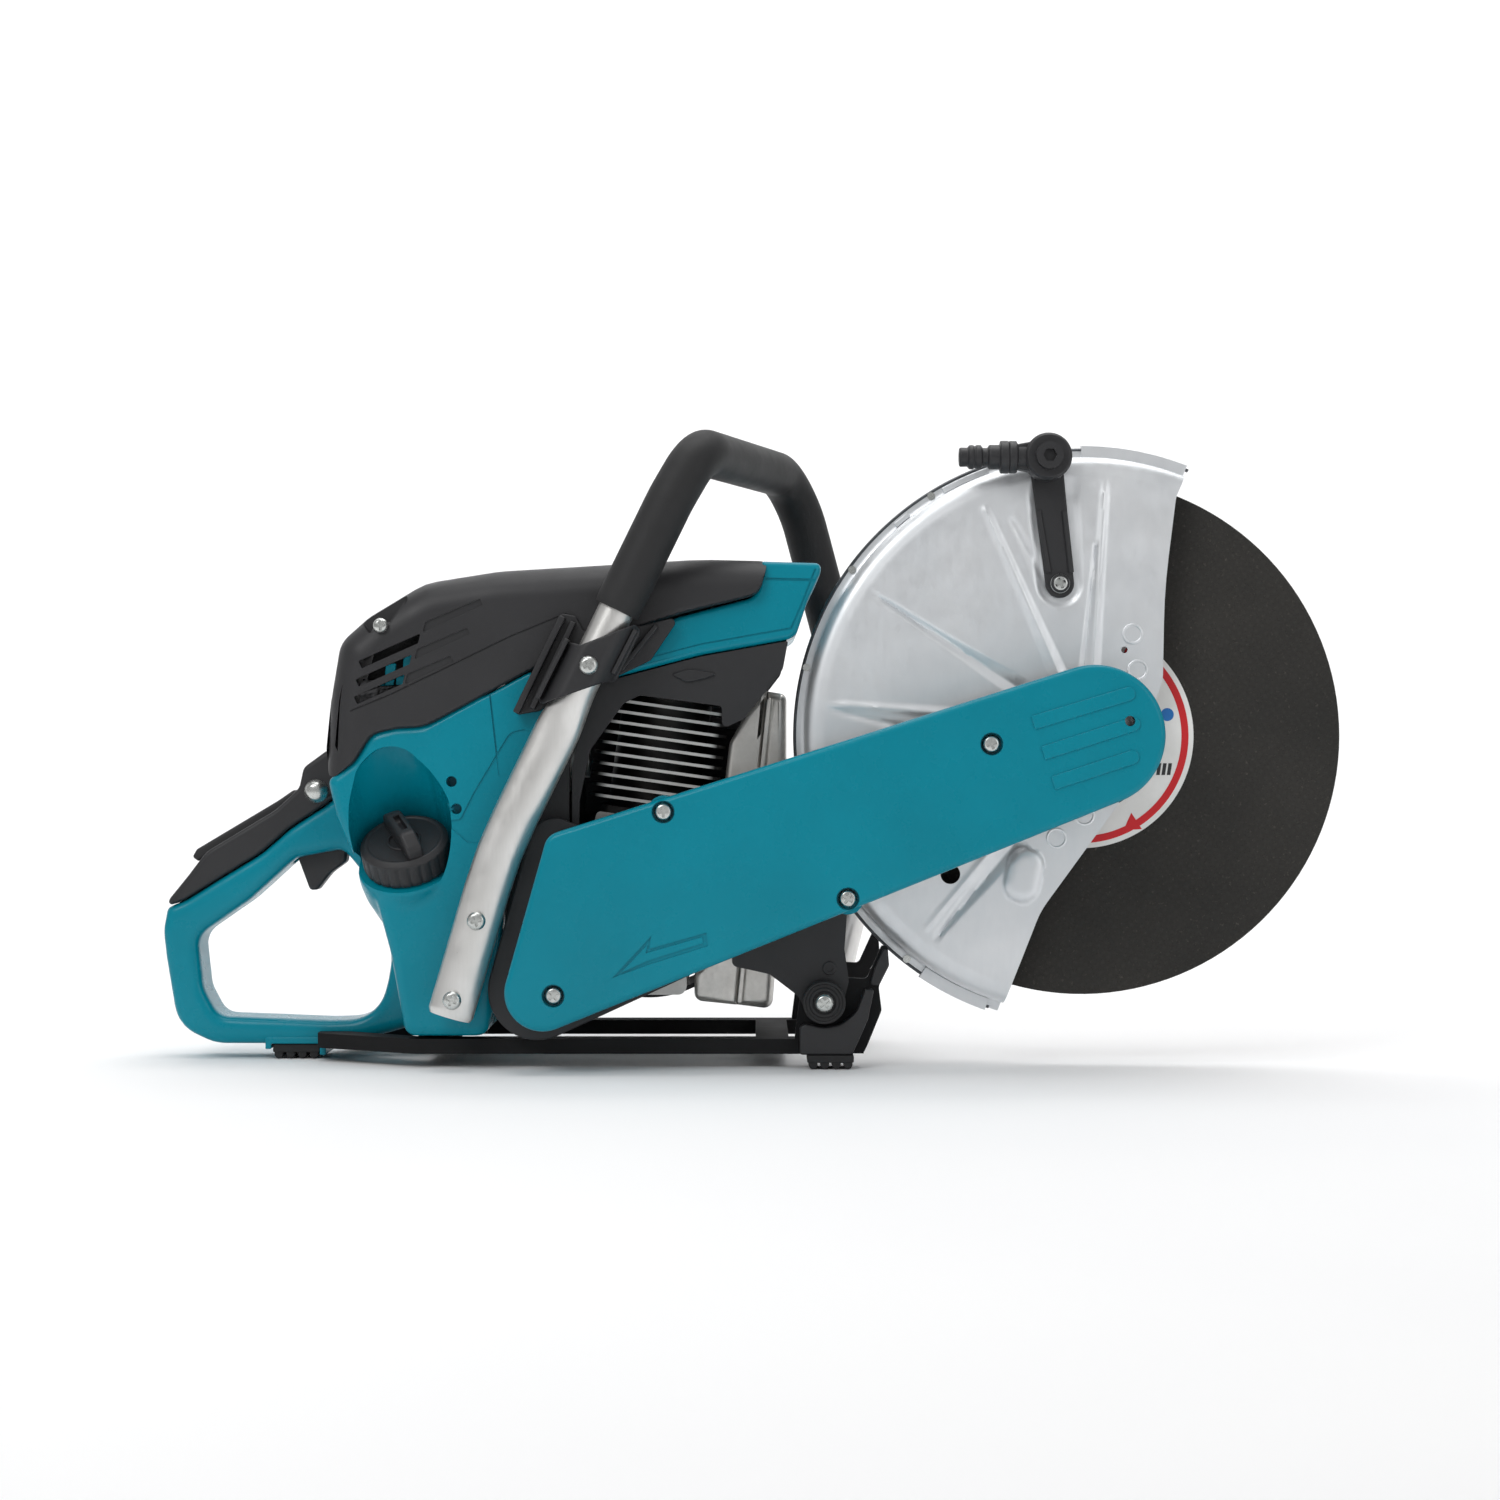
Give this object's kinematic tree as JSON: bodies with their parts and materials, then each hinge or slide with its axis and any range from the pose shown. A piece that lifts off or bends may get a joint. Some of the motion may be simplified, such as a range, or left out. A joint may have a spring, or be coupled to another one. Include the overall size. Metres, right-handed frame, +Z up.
{
  "type": "rescue saw",
  "caption": "Petrol rescue saw: an engine with rear and front handles, a belt-driven arm, an abrasive wheel in a turning steel guard, and a water connector.",
  "frame": {"origin": "on the floor under the middle of the saw's overall box", "axes": "+X forward to the wheel, +Y to the operator's left (starter side), +Z up"},
  "size_m": [0.8033, 0.2552, 0.4278],
  "materials": {
    "teal_plastic": "gloss moulded, teal",
    "black_plastic": "fine textured, charcoal",
    "black_rubber": "moulded rubber",
    "abrasive": "resin bonded abrasive with glass mesh",
    "guard_steel": "zinc plated pressing",
    "tube_metal": "satin tube",
    "cast_alloy": "as cast",
    "steel": "machined",
    "zinc_screw": "bright zinc",
    "muffler_steel": "heat stained steel",
    "filter_foam": "pleated paper",
    "copper_epoxy": "potted coil",
    "ceramic": "spark plug",
    "blue_plastic": "push button"
  },
  "bodies": {
    "machine": {"ball_bearings": "steel", "drive_belt": "black_rubber", "belt_cover": "teal_plastic", "cutting_arm": "cast_alloy", "guard_retaining_ring": "steel", "crankcase_near": "cast_alloy", "crankcase_far": "cast_alloy", "crankshaft_seals": "black_rubber", "piston": "cast_alloy", "connecting_rod": "steel", "rod_pins": "steel", "cylinder": "cast_alloy", "spark_plug": "ceramic", "spark_plug_boot": "black_rubber", "muffler_rear_shell": "muffler_steel", "muffler_front_shell": "muffler_steel", "starter_cover": "black_plastic", "recoil_spring": "steel", "ignition_coil": "copper_epoxy", "tank_housing": "teal_plastic", "handle_cover": "black_plastic", "air_filter_cover": "black_plastic", "cylinder_hood": "teal_plastic", "cylinder_shroud": "black_plastic", "carburettor": "cast_alloy", "carburettor_box": "black_plastic", "air_filter": "filter_foam", "front_handle_tube": "tube_metal", "front_handle_grip": "black_rubber", "handle_saddle": "black_plastic", "base_frame": "black_plastic", "front_bracket": "black_plastic", "vibration_mounts": "black_rubber", "rubber_feet": "black_rubber", "housing_screws": "zinc_screw"},
    "wheel_shaft": {"cutting_wheel": "abrasive", "inner_flange": "steel", "outer_flange": "steel", "wheel_bolt": "zinc_screw", "spindle": "steel", "spindle_pulley": "steel"},
    "drum": {"clutch_drum": "steel"},
    "crank": {"crankshaft": "steel", "flywheel": "cast_alloy", "clutch": "steel"},
    "guard": {"guard_near_half": "guard_steel", "guard_far_half": "guard_steel", "guard_rivets": "zinc_screw", "water_pipe_bracket": "black_plastic", "water_kit_screws": "black_plastic"},
    "water_connector": {"water_banjo": "black_plastic", "water_nipple": "black_plastic"},
    "trigger": {"throttle_trigger": "black_plastic"},
    "lock_lever": {"throttle_lock": "black_plastic"},
    "filler_cap": {"fuel_cap": "black_plastic"},
    "pull_handle": {"starter_grip": "black_rubber"},
    "rope_reel": {"starter_pulley": "black_plastic"},
    "choke": {"choke_lever": "black_plastic"},
    "stop_button": {"stop_switch": "black_plastic"},
    "decompressor": {"decompression_valve": "blue_plastic"}
  },
  "joints": [
    {"name": "wheel_spin", "type": "hinge", "parent": "machine", "child": "wheel_shaft", "pos_m": [0.2246, -0.045, 0.2215], "axis": [0, 1, 0], "continuous": true},
    {"name": "drum_spin", "type": "hinge", "parent": "machine", "child": "drum", "pos_m": [-0.076, -0.1, 0.112], "axis": [0, 1, 0], "continuous": true},
    {"name": "crank_spin", "type": "hinge", "parent": "machine", "child": "crank", "pos_m": [-0.076, 0, 0.112], "axis": [0, 1, 0], "continuous": true},
    {"name": "guard_turn", "type": "hinge", "parent": "machine", "child": "guard", "pos_m": [0.2246, -0.065, 0.2215], "axis": [0, 1, 0], "range_deg": [-40, 15]},
    {"name": "water_connector_turn", "type": "hinge", "parent": "guard", "child": "water_connector", "pos_m": [0.1982, -0.08, 0.407], "axis": [0, 1, 0], "range_deg": [-60, 20]},
    {"name": "throttle_squeeze", "type": "hinge", "parent": "machine", "child": "trigger", "pos_m": [-0.283, 0, 0.15], "axis": [0, 1, 0], "range_deg": [0, 14], "stiffness_Nm_per_rad": 0.5, "springref_deg": -17.19},
    {"name": "lock_press", "type": "hinge", "parent": "machine", "child": "lock_lever", "pos_m": [-0.313, 0, 0.178], "axis": [0, -1, 0], "range_deg": [0, 4], "stiffness_Nm_per_rad": 0.6, "springref_deg": -11.46},
    {"name": "cap_turn", "type": "hinge", "parent": "machine", "child": "filler_cap", "pos_m": [-0.23, -0.058, 0.136], "axis": [-0.0996, -0.5679, 0.817], "range_deg": [0, 90]},
    {"name": "starter_pull", "type": "slide", "parent": "machine", "child": "pull_handle", "axis": [0, 0, 1], "range_m": [0, 0.11], "stiffness_N_per_m": 60, "springref_m": -0.05},
    {"name": "reel_spin", "type": "hinge", "parent": "machine", "child": "rope_reel", "pos_m": [-0.076, 0.096, 0.112], "axis": [0, -1, 0], "range_deg": [0, 200]},
    {"name": "choke_turn", "type": "hinge", "parent": "machine", "child": "choke", "pos_m": [-0.214, 0.087, 0.196], "axis": [0, 1, 0], "range_deg": [0, 45]},
    {"name": "stop_slide", "type": "slide", "parent": "machine", "child": "stop_button", "axis": [-1, 0, 0], "range_m": [0, 0.004]},
    {"name": "decompression_press", "type": "slide", "parent": "machine", "child": "decompressor", "axis": [0, -1, 0], "range_m": [0, 0.004], "stiffness_N_per_m": 400, "springref_m": -0.002}
  ],
  "couplings": [
    {"joint": "drum_spin", "follows": "wheel_spin", "ratio": 2.1176},
    {"joint": "reel_spin", "follows": "starter_pull", "rad_per_m": 30.303}
  ]
}
